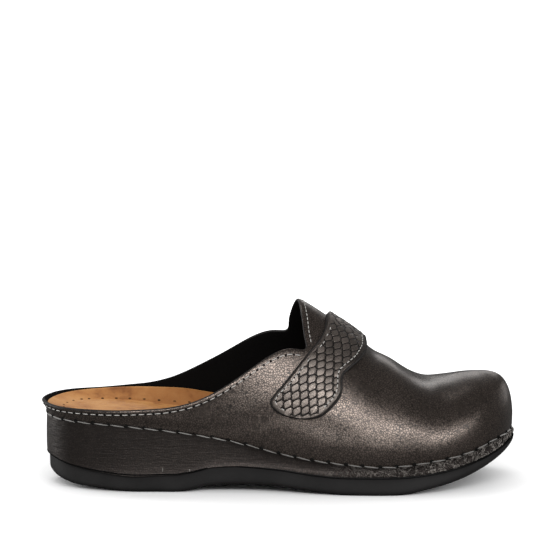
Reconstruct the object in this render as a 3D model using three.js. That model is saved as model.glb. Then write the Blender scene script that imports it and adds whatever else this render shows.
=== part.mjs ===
// A closed-toe comfort mule for the right foot. A stitched leather upper with an instep tab, an embossed
// strap across it and a low rim round the heel stands on a leather-covered wedge with a moulded footbed,
// over a one-piece rocker outsole. Every piece takes its form from one last, which is the surface that
// lastPoint gives: a column runs from the heel (0) to the toe (COLUMNS), and a girth angle runs from the
// outer seam (0) over the ridge (90 degrees) to the inner seam (180 degrees).
import * as THREE from "three";
import { mergeVertices } from "three/addons/utils/BufferGeometryUtils.js";

// Sizes in millimetres. The toe points to +X, the outer side of the foot to -Y, and the floor is z = 0.
const LENGTH = 259.8; // heel to toe, along the seam between upper and sole
const BALL_WIDTH = 92.5;
const HEEL_WIDTH = 69.5;
const HEEL_HEIGHT = 39.7; // floor to seam at the heel
const BALL_HEIGHT = 16.2; // floor to seam at the ball
const TOE_SPRING = 12.8; // rise of the seam from ball to toe tip
const INSTEP_HEIGHT = 102.5; // floor to the top of the instep tab
const TOE_HEIGHT = 60.2; // floor to the top of the toe box
const TOE_FRONT = 16; // toe tip back to where the toe box is highest
const OUTER_THROAT = 147.5; // heel to the seam point below the outer notch
const INNER_THROAT = 130.5; // heel to the seam point below the inner notch
const TAB_START = 141.5; // heel to the back edge of the tab, on the ridge
const RIM_RISE = 6.4; // seam to rim at the heel
const QUARTER_RISE = 33.2; // heel rim to the top of the quarters
const WALL = 2; // leather and lining of the upper
const FLARE = 2.8; // lean of the heel rim outwards
const BULGE = 1.2; // how far the forefoot stands out over its seam
const TUCK_HEIGHT = 7; // height over which that bulge is reached
const OUTSOLE_THICKNESS = 10.4;
const EDGE_ROUND = 4; // radius under the edge of the outsole
const OUTSOLE_BEVEL = 0.7; // bevel of its upper edge
const ARCH_LIFT = 4.6; // floor to the underside of the arch
const HEEL_BEVEL = 8; // rise of the outsole at the back of the heel
const LEDGE = 1.7; // how far the outsole stands out at the ball, and steps in at the heel
const COVER_ROUND = 0.8; // rounding of the wedge's covered edges
const INSOLE_THICKNESS = 3;
const CUP_HEIGHT = 12; // seam to the highest edge of the footbed, at the arch
const CUP_WIDTH = 11; // width of the footbed's rising edge
const STRAP_THICKNESS = 2.6;
const STRAP_BEVEL = 0.7;
const GAP = 0.3; // between pieces that are glued or sewn together
const LAID_GAP = 0.4; // between the upper and the strap over it or the footbed inside it

// Outline of the seam from above. Outer and inner are distances from the centre line, as shares of the
// width, which goes from the heel's (widen 0) to the ball's (widen 1).
const OUTLINE = [
  { at: 0, widen: 0, outer: 0.043, inner: -0.043 },
  { at: 0.038, widen: 0, outer: 0.374, inner: 0.295 },
  { at: 0.134, widen: 0, outer: 0.522, inner: 0.439 },
  { at: 0.289, widen: 0, outer: 0.547, inner: 0.453 },
  { at: 0.443, widen: 0.41, outer: 0.494, inner: 0.399 },
  { at: 0.597, widen: 1, outer: 0.476, inner: 0.438 },
  { at: 0.731, widen: 1, outer: 0.495, inner: 0.505 },
  { at: 0.847, widen: 1, outer: 0.438, inner: 0.482 },
  { at: 0.933, widen: 1, outer: 0.3, inner: 0.373 },
  { at: 0.982, widen: 1, outer: 0.12, inner: 0.236 },
  { at: 1, widen: 1, outer: -0.076, inner: 0.076 },
];

// Height of the seam: wedge goes from the heel's height (0) to the ball's (1), spring adds the toe's.
const SEAM = [
  { at: 0, wedge: 0, spring: 0 },
  { at: 0.135, wedge: 0.06, spring: 0 },
  { at: 0.289, wedge: 0.23, spring: 0 },
  { at: 0.396, wedge: 0.425, spring: 0 },
  { at: 0.5, wedge: 0.715, spring: 0 },
  { at: 0.608, wedge: 0.906, spring: 0 },
  { at: 0.724, wedge: 1, spring: 0 },
  { at: 0.828, wedge: 1, spring: 0.19 },
  { at: 0.905, wedge: 1, spring: 0.45 },
  { at: 0.962, wedge: 1, spring: 0.83 },
  { at: 1, wedge: 1, spring: 1 },
];

// Ridge of the last, as shares of the instep's and the toe's height. Behind the tab it only sets how the
// walls lean. Across is its distance from the centre line towards the inner side, in ball widths, and
// square is the exponent of the section: 2 is an ellipse, and more is boxier.
const RIDGE = [
  { at: 0, instep: 1.6, toe: 0, across: -0.03, square: 2 },
  { at: 0.289, instep: 1.42, toe: 0, across: -0.03, square: 1.9 },
  { at: 0.4, instep: 1.13, toe: 0, across: -0.01, square: 1.8 },
  { at: 0.545, instep: 1, toe: 0, across: 0.011, square: 1.72 },
  { at: 0.593, instep: 0.924, toe: 0, across: 0.016, square: 1.75 },
  { at: 0.685, instep: 0.751, toe: 0, across: 0.027, square: 1.95 },
  { at: 0.741, instep: 0.497, toe: 0.283, across: 0.043, square: 2.15 },
  { at: 0.799, instep: 0.2, toe: 0.628, across: 0.065, square: 2.35 },
  { at: 0.824, instep: 0.1, toe: 0.772, across: 0.076, square: 2.45 },
  { at: 0.877, instep: 0, toe: 0.975, across: 0.09, square: 2.7 },
  { at: 0.923, instep: 0, toe: 1, across: 0.097, square: 2.9 },
];

// Top line of the quarters, from the heel (0) to the notches (1), as shares of the quarters' rise.
const COLLAR = [
  { at: 0, outer: 0, inner: 0 },
  { at: 0.3, outer: 0, inner: -0.01 },
  { at: 0.5, outer: 0.04, inner: 0.06 },
  { at: 0.6, outer: 0.135, inner: 0.18 },
  { at: 0.7, outer: 0.36, inner: 0.415 },
  { at: 0.8, outer: 0.68, inner: 0.7 },
  { at: 0.9, outer: 0.955, inner: 0.98 },
  { at: 0.95, outer: 1, inner: 1.04 },
  { at: 1, outer: 0.98, inner: 1.04 },
];

// Outsole: its underside's rises at the back, arch and toe, its thickness, and its ledge.
const SOLE = [
  { at: 0, bevel: 0.9, arch: 0, spring: 0, thick: 1.08, ledge: -1 },
  { at: 0.023, bevel: 0.6, arch: 0, spring: 0, thick: 1.2, ledge: -1 },
  { at: 0.069, bevel: 0.32, arch: 0, spring: 0, thick: 1.15, ledge: -0.9 },
  { at: 0.134, bevel: 0.13, arch: 0, spring: 0, thick: 1.07, ledge: -0.7 },
  { at: 0.19, bevel: 0, arch: 0, spring: 0, thick: 1.04, ledge: -0.6 },
  { at: 0.284, bevel: 0, arch: 0, spring: 0, thick: 1.1, ledge: -0.4 },
  { at: 0.352, bevel: 0, arch: 0.8, spring: 0, thick: 1.1, ledge: -0.2 },
  { at: 0.41, bevel: 0, arch: 1, spring: 0, thick: 1.08, ledge: 0 },
  { at: 0.479, bevel: 0, arch: 0.93, spring: 0, thick: 1.01, ledge: 0.3 },
  { at: 0.567, bevel: 0, arch: 0.39, spring: 0, thick: 0.99, ledge: 0.7 },
  { at: 0.644, bevel: 0, arch: 0, spring: 0, thick: 1.03, ledge: 0.9 },
  { at: 0.747, bevel: 0, arch: 0, spring: 0, thick: 1.04, ledge: 1 },
  { at: 0.824, bevel: 0, arch: 0, spring: 0.26, thick: 0.86, ledge: 1 },
  { at: 0.881, bevel: 0, arch: 0, spring: 0.53, thick: 0.76, ledge: 1 },
  { at: 0.939, bevel: 0, arch: 0, spring: 0.95, thick: 0.62, ledge: 0.9 },
  { at: 0.977, bevel: 0, arch: 0, spring: 1.3, thick: 0.53, ledge: 0.8 },
  { at: 1, bevel: 0, arch: 0, spring: 1.54, thick: 0.52, ledge: 0.7 },
];

// Where the wedge's cover stands out past the seam, where the heel rim flares, where the upper bulges, and
// how high the footbed's edges stand, as shares of LEDGE, FLARE, BULGE and CUP_HEIGHT.
const FITTINGS = [
  { at: 0, cover: 0, flare: 1, bulge: 0, outer: 0.43, inner: 0.43 },
  { at: 0.134, cover: 0, flare: 0.8, bulge: 0, outer: 0.56, inner: 0.66 },
  { at: 0.231, cover: 0, flare: 0.6, bulge: 0, outer: 0.72, inner: 0.87 },
  { at: 0.308, cover: 0.05, flare: 0.3, bulge: 0, outer: 0.78, inner: 1 },
  { at: 0.366, cover: 0.1, flare: 0, bulge: 0.1, outer: 0.73, inner: 1 },
  { at: 0.443, cover: 0.2, flare: 0, bulge: 0.3, outer: 0.58, inner: 0.82 },
  { at: 0.558, cover: 0.4, flare: 0, bulge: 0.7, outer: 0.42, inner: 0.5 },
  { at: 0.731, cover: 0.6, flare: 0, bulge: 1, outer: 0.35, inner: 0.35 },
  { at: 1, cover: 0.75, flare: 0, bulge: 0.6, outer: 0.35, inner: 0.35 },
];

// The strap at girths from its rounded outer tip to its sewn inner end: the girth as a share of the half
// turn, and its back and front edges as shares of the length.
const STRAP = [
  { girth: 0.086, back: 0.472, front: 0.582 },
  { girth: 0.116, back: 0.486, front: 0.594 },
  { girth: 0.144, back: 0.504, front: 0.614 },
  { girth: 0.172, back: 0.52, front: 0.625 },
  { girth: 0.204, back: 0.537, front: 0.632 },
  { girth: 0.238, back: 0.553, front: 0.631 },
  { girth: 0.252, back: 0.559, front: 0.635 },
  { girth: 0.28, back: 0.571, front: 0.65 },
  { girth: 0.33, back: 0.588, front: 0.669 },
  { girth: 0.4, back: 0.599, front: 0.679 },
  { girth: 0.5, back: 0.602, front: 0.676 },
  { girth: 0.62, back: 0.597, front: 0.664 },
  { girth: 0.76, back: 0.585, front: 0.65 },
  { girth: 0.86, back: 0.578, front: 0.643 },
];
const STRAP_TIP = 0.03; // girth over which the outer end is rounded

// Mesh steps
const REAR_COLUMNS = 20;
const FRONT_COLUMNS = 22;
const COLUMNS = REAR_COLUMNS + FRONT_COLUMNS;
const SIDE_ROWS = 12; // rows from a seam to the ridge
const WALL_ROWS = 7; // rows from a seam to the notch
const CAP_ROWS = 4; // strips across a sole piece
const STRAP_ROWS = 30;
const STRAP_STRIPS = 6;
const OUTLINE_STEPS = 240;

const OUTER = -1;
const INNER = 1;
const RIGHT_ANGLE = Math.PI / 2;

const mix = (a, b, share) => a + (b - a) * share;
const clamp01 = (value) => Math.min(1, Math.max(0, value));
const smooth = (share) => clamp01(share) ** 2 * (3 - 2 * clamp01(share));

// A smooth curve through one column of a table that never swings past its rows.
function through(table, column, key = "at") {
  const x = table.map((row) => row[key]);
  const y = table.map((row) => row[column]);
  const last = x.length - 1;
  const step = x.slice(1).map((value, k) => (y[k + 1] - y[k]) / (value - x[k]));
  const slope = x.map((_, k) => {
    if (k === 0) return step[0];
    if (k === last) return step[last - 1];
    if (step[k - 1] * step[k] <= 0) return 0;
    return (2 * step[k - 1] * step[k]) / (step[k - 1] + step[k]);
  });
  return (value) => {
    let k = 0;
    while (k < last - 1 && value > x[k + 1]) k++;
    const span = x[k + 1] - x[k];
    const t = clamp01((value - x[k]) / span);
    const lift = t * t * (3 - 2 * t);
    const start = t * (1 - t) ** 2 * span * slope[k];
    const end = t * t * (1 - t) * span * slope[k + 1];
    return y[k] + (y[k + 1] - y[k]) * lift + start - end;
  };
}

const columns = (table, names) => {
  const curves = {};
  for (const name of names) curves[name] = through(table, name);
  return curves;
};
const seam = columns(SEAM, ["wedge", "spring"]);
const ridge = columns(RIDGE, ["instep", "toe", "across", "square"]);
const collar = columns(COLLAR, ["outer", "inner"]);
const sole = columns(SOLE, ["bevel", "arch", "spring", "thick", "ledge"]);
const fitting = columns(FITTINGS, ["cover", "flare", "bulge", "outer", "inner"]);
const strap = { back: through(STRAP, "back", "girth"), front: through(STRAP, "front", "girth") };

// Heights along the shoe, at a distance x from the heel.
function seamHeight(x) {
  const at = x / LENGTH;
  const drop = (HEEL_HEIGHT - BALL_HEIGHT) * seam.wedge(at);
  return HEEL_HEIGHT - drop + TOE_SPRING * seam.spring(at);
}

function ridgeHeight(x) {
  return INSTEP_HEIGHT * ridge.instep(x / LENGTH) + TOE_HEIGHT * ridge.toe(x / LENGTH);
}

function outsoleBottom(x) {
  const at = x / LENGTH;
  return HEEL_BEVEL * sole.bevel(at) + ARCH_LIFT * sole.arch(at) + TOE_SPRING * sole.spring(at);
}

function outsoleTop(x) {
  return outsoleBottom(x) + OUTSOLE_THICKNESS * sole.thick(x / LENGTH);
}

// The closed seam outline, and each side of it measured along its length from heel to toe.
const outlineCurve = (() => {
  const corner = (row, side) => {
    const width = mix(HEEL_WIDTH, BALL_WIDTH, row.widen);
    const across = side === OUTER ? -row.outer : row.inner;
    return new THREE.Vector3(row.at * LENGTH, across * width, 0);
  };
  const outer = OUTLINE.map((row) => corner(row, OUTER));
  const inner = OUTLINE.slice(1, -1).map((row) => corner(row, INNER));
  return new THREE.CatmullRomCurve3([...outer, ...inner.reverse()], true, "centripetal");
})();

function measureSide(side, throat) {
  const points = [];
  const run = [0];
  for (let k = 0; k <= OUTLINE_STEPS; k++) {
    const t = (0.5 * k) / OUTLINE_STEPS;
    points.push(outlineCurve.getPoint(side === OUTER ? t : 1 - t));
    if (k) run.push(run[k - 1] + points[k].distanceTo(points[k - 1]));
  }
  const total = run[OUTLINE_STEPS];
  const k = points.findIndex((point) => point.x > throat);
  const share = (throat - points[k - 1].x) / (points[k].x - points[k - 1].x);
  return { points, run, total, notch: mix(run[k - 1], run[k], share) };
}
const sides = {
  [OUTER]: measureSide(OUTER, OUTER_THROAT),
  [INNER]: measureSide(INNER, INNER_THROAT),
};

// The outline's point at a column, with the seam's height.
function seamPoint(side, at) {
  const { points, run, total, notch } = sides[side];
  const rear = at <= REAR_COLUMNS;
  const front = (at - REAR_COLUMNS) / FRONT_COLUMNS;
  const distance = rear ? (notch * at) / REAR_COLUMNS : mix(notch, total, front);
  let k = 1;
  while (k < OUTLINE_STEPS && run[k] < distance) k++;
  const share = (distance - run[k - 1]) / (run[k] - run[k - 1]);
  const point = points[k - 1].clone().lerp(points[k], share);
  point.z = seamHeight(point.x);
  return point;
}

// The ridge's point at a column. Columns crowd towards the front of the toe box.
function ridgePoint(at) {
  const rearStart = TOE_FRONT * 1.7;
  const rearPower = 1.3;
  const frontEnd = LENGTH - TOE_FRONT;
  let x;
  if (at <= REAR_COLUMNS) {
    x = mix(rearStart, TAB_START, (at / REAR_COLUMNS) ** rearPower);
  } else {
    const t = (at - REAR_COLUMNS) / FRONT_COLUMNS;
    const startSlope = (TAB_START - rearStart) * rearPower * (FRONT_COLUMNS / REAR_COLUMNS);
    const endSlope = startSlope / 4;
    const span = frontEnd - TAB_START;
    const lift = t * t * (3 - 2 * t);
    x = TAB_START + span * lift + t * (1 - t) ** 2 * startSlope - t * t * (1 - t) * endSlope;
  }
  return new THREE.Vector3(x, BALL_WIDTH * ridge.across(x / LENGTH), ridgeHeight(x));
}

// The outside of the upper as it stands on the last.
function lastPoint(at, girth) {
  if (at < 0) return lastPoint(-at, Math.PI - girth);
  if (at > COLUMNS) return lastPoint(2 * COLUMNS - at, Math.PI - girth);
  const side = girth > RIGHT_ANGLE ? INNER : OUTER;
  const angle = side === INNER ? Math.PI - girth : girth;
  const foot = seamPoint(side, at);
  const top = ridgePoint(at);
  const power = ridge.square(top.x / LENGTH);
  const cos = Math.max(0, Math.cos(angle));
  const reach = (cos ** power + Math.abs(Math.sin(angle)) ** power) ** (-1 / power);
  const out = cos * reach;
  const height = (top.z - foot.z) * Math.sin(angle) * reach;
  const lean = new THREE.Vector3(foot.x - top.x, foot.y - top.y, 0);
  const length = lean.length();
  const flare = FLARE * fitting.flare(foot.x / LENGTH) * clamp01(height / RIM_RISE) ** 1.5;
  const bulge = BULGE * fitting.bulge(foot.x / LENGTH) * smooth(height / TUCK_HEIGHT) * out;
  lean.multiplyScalar(out + (flare + bulge) / length);
  return new THREE.Vector3(top.x + lean.x, top.y + lean.y, foot.z + height);
}

function lastNormal(at, girth) {
  const step = 0.05;
  const along = lastPoint(at + step, girth).sub(lastPoint(at - step, girth));
  const round = lastPoint(at, girth + step).sub(lastPoint(at, girth - step));
  const normal = along.cross(round);
  const folded = normal.length() < step * step;
  return folded ? lastNormal(at - 0.5, girth) : normal.normalize();
}

// A point off the upper's outside: positive is away from the foot.
function skin(at, girth, offset) {
  return lastPoint(at, girth).addScaledVector(lastNormal(at, girth), offset);
}

// The girth angle at which a column's wall reaches a height above its seam.
function girthAtHeight(side, at, height) {
  const top = ridgePoint(at);
  const power = ridge.square(top.x / LENGTH);
  const up = clamp01(height / (top.z - seamPoint(side, at).z));
  const angle = Math.atan2(up, (1 - up ** power) ** (1 / power));
  return side === OUTER ? angle : Math.PI - angle;
}

// The column at which a girth passes a distance x from the heel.
function columnAt(x, girth) {
  let low = 0;
  let high = COLUMNS;
  for (let k = 0; k < 30; k++) {
    const middle = (low + high) / 2;
    if (lastPoint(middle, girth).x < x) low = middle;
    else high = middle;
  }
  return low;
}

// A closed surface put together from four-sided and three-sided faces.
class Shell {
  constructor() {
    this.corners = [];
  }

  triangle(a, b, c) {
    const same = 1e-6;
    if (a.distanceTo(b) < same || b.distanceTo(c) < same || c.distanceTo(a) < same) return;
    this.corners.push(...a.toArray(), ...b.toArray(), ...c.toArray());
  }

  quad(a, b, c, d) {
    this.triangle(a, b, c);
    this.triangle(a, c, d);
  }

  // Faces between two rows of points, seen from outside with the second row on the left.
  strip(right, left) {
    for (let k = 0; k + 1 < right.length; k++) {
      this.quad(right[k], right[k + 1], left[k + 1], left[k]);
    }
  }

  mesh(name, look) {
    const positions = new THREE.Float32BufferAttribute(this.corners, 3);
    const loose = new THREE.BufferGeometry().setAttribute("position", positions);
    const geometry = mergeVertices(loose, 1e-4);
    geometry.computeVertexNormals();
    const mesh = new THREE.Mesh(geometry, new THREE.MeshStandardMaterial(look));
    mesh.name = name;
    return mesh;
  }
}

const range = (from, to) => Array.from({ length: to - from + 1 }, (_, k) => from + k);

// Upper: the last's surface and a second one a wall further in, joined along the seam and by a rounded
// edge round the foot opening. Rows run over the foot, from the outer seam to the inner one.
function buildUpper() {
  const allRows = 2 * SIDE_ROWS;
  const settle = 6; // columns over which rows even out in front of the notches
  const notchHeight = (side) => {
    const name = side === OUTER ? "outer" : "inner";
    return (at) => {
      const share = collar[name](at / REAR_COLUMNS);
      const rim = HEEL_HEIGHT + RIM_RISE + QUARTER_RISE * share;
      return girthAtHeight(side, at, rim - seamPoint(side, at).z);
    };
  };
  const topLine = { [OUTER]: notchHeight(OUTER), [INNER]: notchHeight(INNER) };
  const rowGirth = (at, row) => {
    const side = row > SIDE_ROWS ? INNER : OUTER;
    const count = side === INNER ? allRows - row : row;
    const edge = topLine[side](Math.min(at, REAR_COLUMNS));
    const edgeAngle = side === INNER ? Math.PI - edge : edge;
    const even = (RIGHT_ANGLE * WALL_ROWS) / SIDE_ROWS;
    const settled = mix(edgeAngle, even, smooth((at - REAR_COLUMNS) / settle));
    const above = (count - WALL_ROWS) / (SIDE_ROWS - WALL_ROWS);
    const low = settled * (count / WALL_ROWS);
    const angle = count <= WALL_ROWS ? low : mix(settled, RIGHT_ANGLE, above);
    return side === INNER ? Math.PI - angle : angle;
  };
  const point = (at, row, offset) => skin(at, rowGirth(at, row), offset);
  const grid = (offset) =>
    range(0, COLUMNS).map((at) =>
      range(0, allRows).map((row) => {
        const open = at < REAR_COLUMNS && row > WALL_ROWS && row < allRows - WALL_ROWS;
        return open ? null : point(at, row, offset);
      }),
    );
  const outside = grid(0);
  const inside = grid(-WALL);
  const shell = new Shell();
  for (let at = 0; at < COLUMNS; at++) {
    for (let row = 0; row < allRows; row++) {
      const cornersOf = (points) => [
        points[at][row],
        points[at + 1][row],
        points[at + 1][row + 1],
        points[at][row + 1],
      ];
      const [a, b, c, d] = cornersOf(outside);
      if (!a || !d) continue;
      shell.quad(a, b, c, d);
      const [e, f, g, h] = cornersOf(inside);
      shell.quad(h, g, f, e);
    }
  }
  const line = (points, row) => points.map((column) => column[row]);
  shell.strip(line(inside, 0), line(outside, 0));
  shell.strip(line(outside, allRows), line(inside, allRows));
  const opening = [
    ...range(0, REAR_COLUMNS).map((at) => [at, WALL_ROWS]),
    ...range(WALL_ROWS + 1, allRows - WALL_ROWS - 1).map((row) => [REAR_COLUMNS, row]),
    ...range(0, REAR_COLUMNS)
      .reverse()
      .map((at) => [at, allRows - WALL_ROWS]),
  ];
  const edge = opening.map(([at, row]) => outside[at][row]);
  const lining = opening.map(([at, row]) => inside[at][row]);
  const rounded = opening.map(([at, row], k) => {
    const last = opening.length - 1;
    const next = edge[k === last ? 1 : k + 1];
    const before = edge[k === 0 ? last - 1 : k - 1];
    const along = next.clone().sub(before).normalize();
    const away = lastNormal(at, rowGirth(at, row)).cross(along).normalize();
    return edge[k].clone().lerp(lining[k], 0.5).addScaledVector(away, WALL * 0.35);
  });
  shell.strip(edge, rounded);
  shell.strip(rounded, lining);
  return shell.mesh("upper", { color: 0x4a4039, roughness: 0.42, metalness: 0.6 });
}

// Strap: a band of even thickness laid over the upper, from a rounded tip on the outer side, across the
// tab's slit and the ridge, to its sewn end on the inner side.
function buildStrap() {
  const tipGirth = STRAP[0].girth;
  const endGirth = STRAP[STRAP.length - 1].girth;
  const spread = (k) => {
    const share = k / STRAP_ROWS;
    return mix(share ** 2, share, smooth(share * 3));
  };
  const outline = (k) => {
    const girth = mix(tipGirth, endGirth, spread(k));
    const round = clamp01((tipGirth + STRAP_TIP - girth) / STRAP_TIP);
    const width = Math.sqrt(1 - round ** 2);
    const back = strap.back(girth) * LENGTH;
    const front = strap.front(girth) * LENGTH;
    const middle = (back + front) / 2;
    return { girth, back: mix(middle, back, width), front: mix(middle, front, width) };
  };
  const face = (offset, inset) =>
    range(0, STRAP_ROWS).map((k) => {
      const { girth, back, front } = outline(k);
      const half = (front - back) / 2;
      const drawIn = Math.min(inset, half);
      const shift = k === 0 ? inset : k === STRAP_ROWS ? -inset : 0;
      const turned = girth + shift / LENGTH;
      return range(0, STRAP_STRIPS).map((strip) => {
        const x = mix(back + drawIn, front - drawIn, strip / STRAP_STRIPS);
        return skin(columnAt(x, turned * Math.PI), turned * Math.PI, offset);
      });
    });
  const under = face(LAID_GAP, 0);
  const side = face(LAID_GAP + STRAP_THICKNESS - STRAP_BEVEL, 0);
  const top = face(LAID_GAP + STRAP_THICKNESS, STRAP_BEVEL);
  const shell = new Shell();
  for (let k = 0; k < STRAP_ROWS; k++) {
    shell.strip(top[k], top[k + 1]);
    shell.strip(under[k + 1], under[k]);
  }
  const border = (rows) => [
    ...rows[0],
    ...rows.slice(1, -1).map((row) => row[STRAP_STRIPS]),
    ...rows[STRAP_ROWS].slice().reverse(),
    ...rows
      .slice(1, -1)
      .reverse()
      .map((row) => row[0]),
    rows[0][0],
  ];
  shell.strip(border(under), border(side));
  shell.strip(border(side), border(top));
  return shell.mesh("strap", { color: 0x5b524a, roughness: 0.38, metalness: 0.6 });
}

// A point of the seam outline moved outwards in plan.
function outlinePoint(side, at, outwards) {
  const step = 0.05;
  const along = [at - step, at + step].map((value) => {
    if (value < 0) return seamPoint(-side, -value);
    if (value > COLUMNS) return seamPoint(-side, 2 * COLUMNS - value);
    return seamPoint(side, value);
  });
  const tangent = along[1].sub(along[0]).setZ(0).normalize();
  const normal = new THREE.Vector3(-side * tangent.y, side * tangent.x, 0);
  return seamPoint(side, at).addScaledVector(normal, outwards);
}

// A sole piece: loops round the shoe, each given by a function of side and column, closed by strips
// across the lowest and the highest loop, whose inner points take their height from under and over.
function layered(loops, under, over) {
  const rings = loops.map((loop) => ({
    [OUTER]: range(0, COLUMNS).map((at) => loop(OUTER, at)),
    [INNER]: range(0, COLUMNS).map((at) => loop(INNER, at)),
  }));
  const shell = new Shell();
  for (let k = 0; k + 1 < rings.length; k++) {
    shell.strip(rings[k][OUTER], rings[k + 1][OUTER]);
    shell.strip(rings[k + 1][INNER], rings[k][INNER]);
  }
  const lines = (ring, heightAt) =>
    range(0, CAP_ROWS).map((row) =>
      range(0, COLUMNS).map((at) => {
        const point = ring[OUTER][at].clone().lerp(ring[INNER][at], row / CAP_ROWS);
        if (row > 0 && row < CAP_ROWS && at > 0 && at < COLUMNS) point.z = heightAt(point);
        return point;
      }),
    );
  const bottom = lines(rings[0], under);
  const top = lines(rings[rings.length - 1], over);
  for (let row = 0; row < CAP_ROWS; row++) {
    shell.strip(bottom[row + 1], bottom[row]);
    shell.strip(top[row], top[row + 1]);
  }
  return shell;
}

// Outsole: its underside follows the heel bevel, arch and toe spring, and its lower edge is rounded.
function buildOutsole() {
  const level = (inset, heightAt) => (side, at) => {
    const { x } = seamPoint(side, at);
    const point = outlinePoint(side, at, LEDGE * sole.ledge(x / LENGTH) - inset);
    return point.setZ(heightAt(point.x));
  };
  const rounding = [80, 55, 30, 0].map((degrees) => {
    const angle = THREE.MathUtils.degToRad(degrees);
    const inset = EDGE_ROUND * (1 - Math.cos(angle));
    const lift = EDGE_ROUND * (1 - Math.sin(angle));
    return level(inset, (x) => outsoleBottom(x) + lift);
  });
  const bevel = OUTSOLE_BEVEL;
  const loops = [
    level(EDGE_ROUND * 1.3, outsoleBottom),
    ...rounding,
    level(0, (x) => outsoleTop(x) - bevel),
    level(bevel, outsoleTop),
  ];
  const shell = layered(loops, ({ x }) => outsoleBottom(x), ({ x }) => outsoleTop(x));
  return shell.mesh("outsole", { color: 0x1c1b1a, roughness: 0.75, metalness: 0 });
}

// Wedge: the midsole with its leather cover, from the outsole up to the seam. The cover's edges turn in.
function buildWedge() {
  const bottomHeight = (x) => outsoleTop(x) + GAP;
  const topHeight = (x) => seamHeight(x) - GAP;
  const level = (inset, heightAt) => (side, at) => {
    const { x } = seamPoint(side, at);
    const point = outlinePoint(side, at, LEDGE * fitting.cover(x / LENGTH) - inset);
    return point.setZ(heightAt(point.x));
  };
  const loops = [
    level(COVER_ROUND, bottomHeight),
    level(0, (x) => bottomHeight(x) + COVER_ROUND),
    level(0, (x) => topHeight(x) - COVER_ROUND),
    level(COVER_ROUND, topHeight),
  ];
  const shell = layered(loops, ({ x }) => bottomHeight(x), ({ x }) => topHeight(x));
  return shell.mesh("wedge", { color: 0x3a332e, roughness: 0.5, metalness: 0.45 });
}

// Footbed: it lies on the wedge inside the upper, and its edge rises against the wall as a shallow cup.
function buildInsole() {
  const inset = -(WALL + LAID_GAP);
  const edgeRise = (side, x) => CUP_HEIGHT * fitting[side === OUTER ? "outer" : "inner"](x / LENGTH);
  const wallPoint = (side, at, height) => skin(at, girthAtHeight(side, at, height), inset);
  const flatHeight = (x) => seamHeight(x) + INSOLE_THICKNESS;
  const cup = (inwards, rise) => (side, at) => {
    const { x } = seamPoint(side, at);
    const top = wallPoint(side, at, edgeRise(side, x));
    const centre = outlinePoint(side, at, inset - inwards);
    const outwards = outlinePoint(side, at, inset);
    const point = new THREE.Vector3(top.x + centre.x - outwards.x, top.y + centre.y - outwards.y, 0);
    return point.setZ(mix(flatHeight(point.x), seamHeight(x) + edgeRise(side, x), rise));
  };
  const wall = (share) => (side, at) =>
    wallPoint(side, at, edgeRise(side, seamPoint(side, at).x) * share);
  const loops = [
    wall(0),
    wall(0.45),
    wall(0.9),
    cup(CUP_WIDTH * 0.1, 1),
    cup(CUP_WIDTH * 0.45, 0.5),
    cup(CUP_WIDTH * 0.8, 0.12),
    cup(CUP_WIDTH, 0),
  ];
  const shell = layered(loops, ({ x }) => seamHeight(x), ({ x }) => flatHeight(x));
  return shell.mesh("insole", { color: 0xc58a55, roughness: 0.7, metalness: 0 });
}

const mule = new THREE.Group();
mule.add(buildOutsole(), buildWedge(), buildInsole(), buildUpper(), buildStrap());

// The origin is on the floor, below the centre of the whole shoe.
const box = new THREE.Box3().setFromObject(mule);
const centre = box.getCenter(new THREE.Vector3());
mule.position.set(-centre.x, -centre.y, -box.min.z);

export default mule;
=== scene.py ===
import math

import bpy
from mathutils import Matrix, Vector
from mathutils.bvhtree import BVHTree
from mathutils.kdtree import KDTree
from mathutils.noise import noise


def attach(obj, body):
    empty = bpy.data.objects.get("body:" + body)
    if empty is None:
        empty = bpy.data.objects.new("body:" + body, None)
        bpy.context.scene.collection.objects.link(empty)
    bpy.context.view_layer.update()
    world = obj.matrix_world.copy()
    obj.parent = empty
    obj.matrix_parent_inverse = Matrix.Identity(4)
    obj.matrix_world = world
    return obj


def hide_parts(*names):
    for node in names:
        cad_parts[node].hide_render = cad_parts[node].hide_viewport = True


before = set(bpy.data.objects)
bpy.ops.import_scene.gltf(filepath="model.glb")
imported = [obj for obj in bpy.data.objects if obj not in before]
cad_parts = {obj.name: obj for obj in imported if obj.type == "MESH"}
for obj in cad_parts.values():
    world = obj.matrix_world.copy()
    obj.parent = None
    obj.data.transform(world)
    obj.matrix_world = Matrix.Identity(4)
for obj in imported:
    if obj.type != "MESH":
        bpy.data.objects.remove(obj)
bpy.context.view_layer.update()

# Studio. The floor is a pale sheet, and soft panels light the shoe as in the photo. The floor also glows
# with
# painted light that only the camera sees: none near the shoe, more further off. The floor and the
# surroundings look white, but they are painted dark for the rays that mirror them, so the shoe mirrors them
# darker, as with black screens round a table. The camera stands far off at the outer side, a little above
# the shoe, on the line that the photo was taken along.
MM = 0.001
FLOOR_SIZE = 30.0
PHOTO_WIDTH = 560
MM_PER_PIXEL = 0.557
SENSOR_WIDTH = 36
CAMERA_DISTANCE = 4.0
CAMERA_RISE = math.radians(10.5)
PHOTO_CENTRE = Vector((0.0011, -0.0005, 0.1133))
PANELS = (
    # Name, place, the point that it faces, width and height in metres, and watts.
    ("front panel", (0.05, -1.25, 0.72), (0.0, 0, 0.05), 1.1, 0.34, 13),
    ("toe panel", (0.9, -0.95, 0.5), (0.06, 0, 0.05), 0.7, 0.3, 6),
    ("top panel", (-0.3, 0.5, 1.6), (0, 0, 0.04), 0.9, 0.6, 4),
    ("back panel", (0.1, 1.5, 0.75), (0, 0, 0.04), 1.2, 0.4, 3),
    ("heel side panel", (-1.1, 0.55, 0.3), (-0.13, 0, 0.04), 0.5, 0.5, 8),
    ("toe side panel", (1.1, 0.95, 0.3), (0.13, 0, 0.04), 0.3, 0.5, 0.8),
)


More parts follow.
